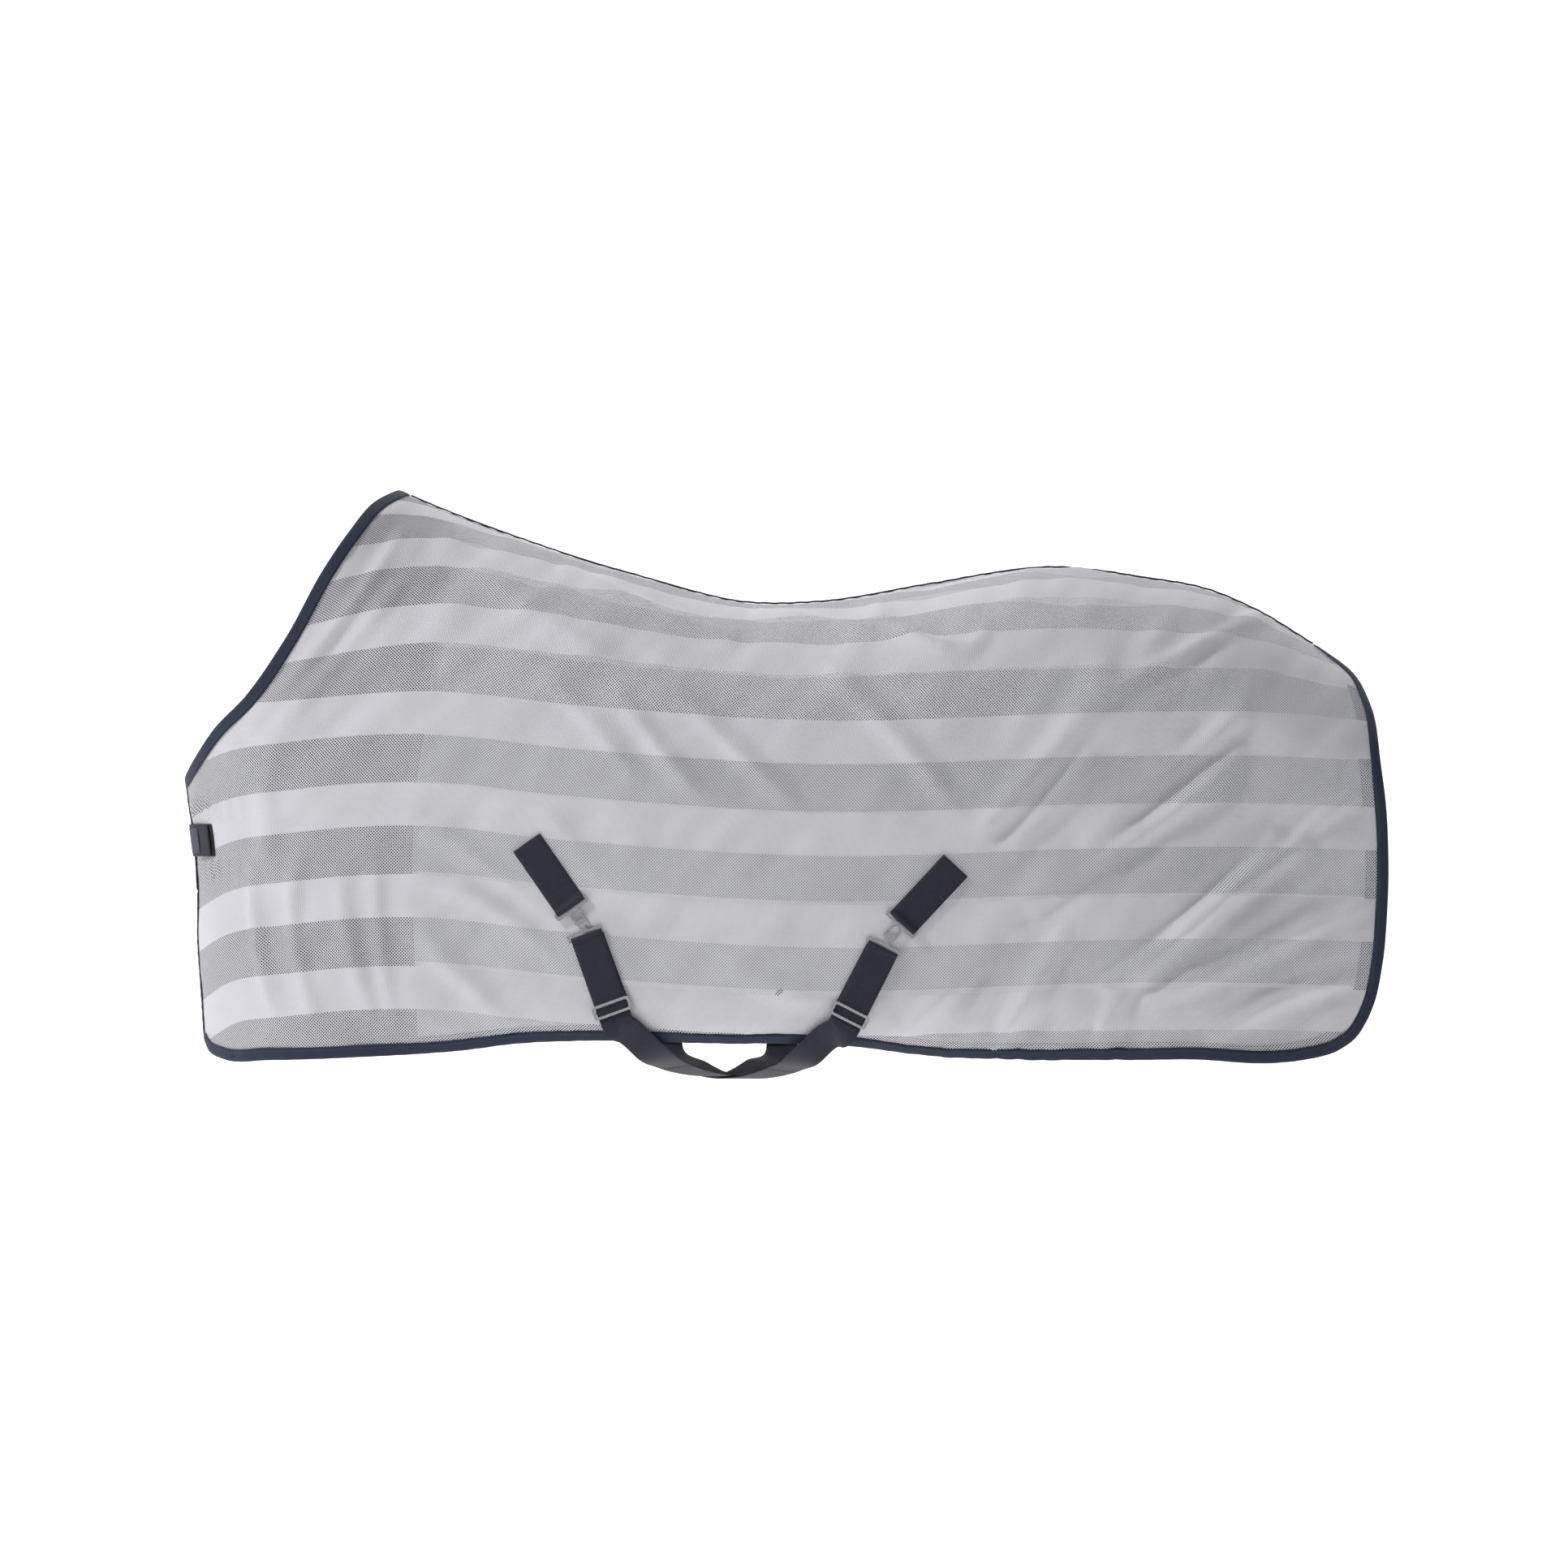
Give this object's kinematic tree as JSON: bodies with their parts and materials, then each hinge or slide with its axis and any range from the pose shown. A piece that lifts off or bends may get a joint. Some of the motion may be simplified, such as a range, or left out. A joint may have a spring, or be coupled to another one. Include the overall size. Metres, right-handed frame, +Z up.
{
  "type": "fly sheet",
  "caption": "Horse fly sheet of banded net with bound edges, dark shoulder lining, hook-and-loop chest closure and crossed belly straps with T-hook buckles, shaped as worn.",
  "frame": {"origin": "on the spine at the dip of the back, where the sheet lies on the horse's back", "axes": "+X towards the tail, -Y towards the horse's left side, +Z up"},
  "size_m": [1.8666, 0.6132, 0.917],
  "materials": {
    "net_fabric": "matte woven",
    "lining": "satin",
    "binding": "matte woven",
    "webbing": "matte woven",
    "label": "satin",
    "hook_tape": "rough pile",
    "buckle_metal": "satin nickel"
  },
  "bodies": {
    "root": {"front_belly_strap_far": "webbing", "front_patch": "webbing", "hem_binding_left": "binding", "hem_binding_right": "binding", "neck_binding": "binding", "rear_belly_strap_far": "webbing", "rear_binding": "binding", "rear_patch": "webbing", "shoulder_lining_left": "lining", "shoulder_lining_right": "lining", "shoulder_panel_left": "net_fabric", "shoulder_panel_right": "net_fabric", "side_panel_left": "net_fabric", "side_panel_right": "net_fabric", "spine_tape": "binding"},
    "chest_flap_left": {"chest_flap_left": "net_fabric", "chest_lining_left": "lining", "chest_binding_left": "binding", "chest_loop_pad": "hook_tape"},
    "chest_flap_right": {"chest_flap_right": "net_fabric", "chest_lining_right": "lining", "chest_binding_right": "binding", "chest_tab_anchor": "webbing"},
    "chest_tab": {"chest_tab": "webbing", "chest_hook_tape": "hook_tape", "chest_label": "label"},
    "front_receiver": {"front_receiver": "buckle_metal"},
    "front_hook": {"front_t_hook": "buckle_metal", "front_strap_loop": "webbing", "front_belly_strap_near": "webbing"},
    "front_slider": {"front_slider": "buckle_metal"},
    "rear_receiver": {"rear_receiver": "buckle_metal"},
    "rear_hook": {"rear_t_hook": "buckle_metal", "rear_strap_loop": "webbing", "rear_belly_strap_near": "webbing"},
    "rear_slider": {"rear_slider": "buckle_metal"}
  },
  "joints": [
    {"name": "chest_flap_left", "type": "hinge", "parent": "root", "child": "chest_flap_left", "pos_m": [-0.8, -0.19063, -0.42814], "axis": [0, 0, 1], "range_deg": [0, 75]},
    {"name": "chest_flap_right", "type": "hinge", "parent": "root", "child": "chest_flap_right", "pos_m": [-0.8, 0.19063, -0.42814], "axis": [0, 0, -1], "range_deg": [0, 75]},
    {"name": "chest_tab", "type": "hinge", "parent": "chest_flap_right", "child": "chest_tab", "pos_m": [-0.87379, 0.06581, -0.36747], "axis": [0, 0, -1], "range_deg": [0, 90]},
    {"name": "front_receiver", "type": "hinge", "parent": "root", "child": "front_receiver", "pos_m": [-0.29689, -0.27573, -0.46697], "axis": [-0.8164, 0.0823, -0.5716], "range_deg": [0, 20]},
    {"name": "front_hook", "type": "hinge", "parent": "front_receiver", "child": "front_hook", "pos_m": [-0.27954, -0.27748, -0.492], "axis": [-0.1003, -0.995, 0], "range_deg": [-4, 4]},
    {"name": "front_slider", "type": "slide", "parent": "front_hook", "child": "front_slider", "axis": [-0.3381, 0.0341, 0.9405], "range_m": [0, 0.06]},
    {"name": "rear_receiver", "type": "hinge", "parent": "root", "child": "rear_receiver", "pos_m": [0.21573, -0.30532, -0.49169], "axis": [-0.7313, 0.0088, 0.682], "range_deg": [0, 20]},
    {"name": "rear_hook", "type": "hinge", "parent": "rear_receiver", "child": "rear_hook", "pos_m": [0.19494, -0.30507, -0.514], "axis": [-0.012, -0.9999, 0], "range_deg": [-4, 4]},
    {"name": "rear_slider", "type": "slide", "parent": "rear_hook", "child": "rear_slider", "axis": [0.4539, -0.0054, 0.891], "range_m": [0, 0.06]}
  ],
  "couplings": [
    {"joint": "chest_flap_right", "follows": "chest_flap_left", "ratio": 1}
  ]
}
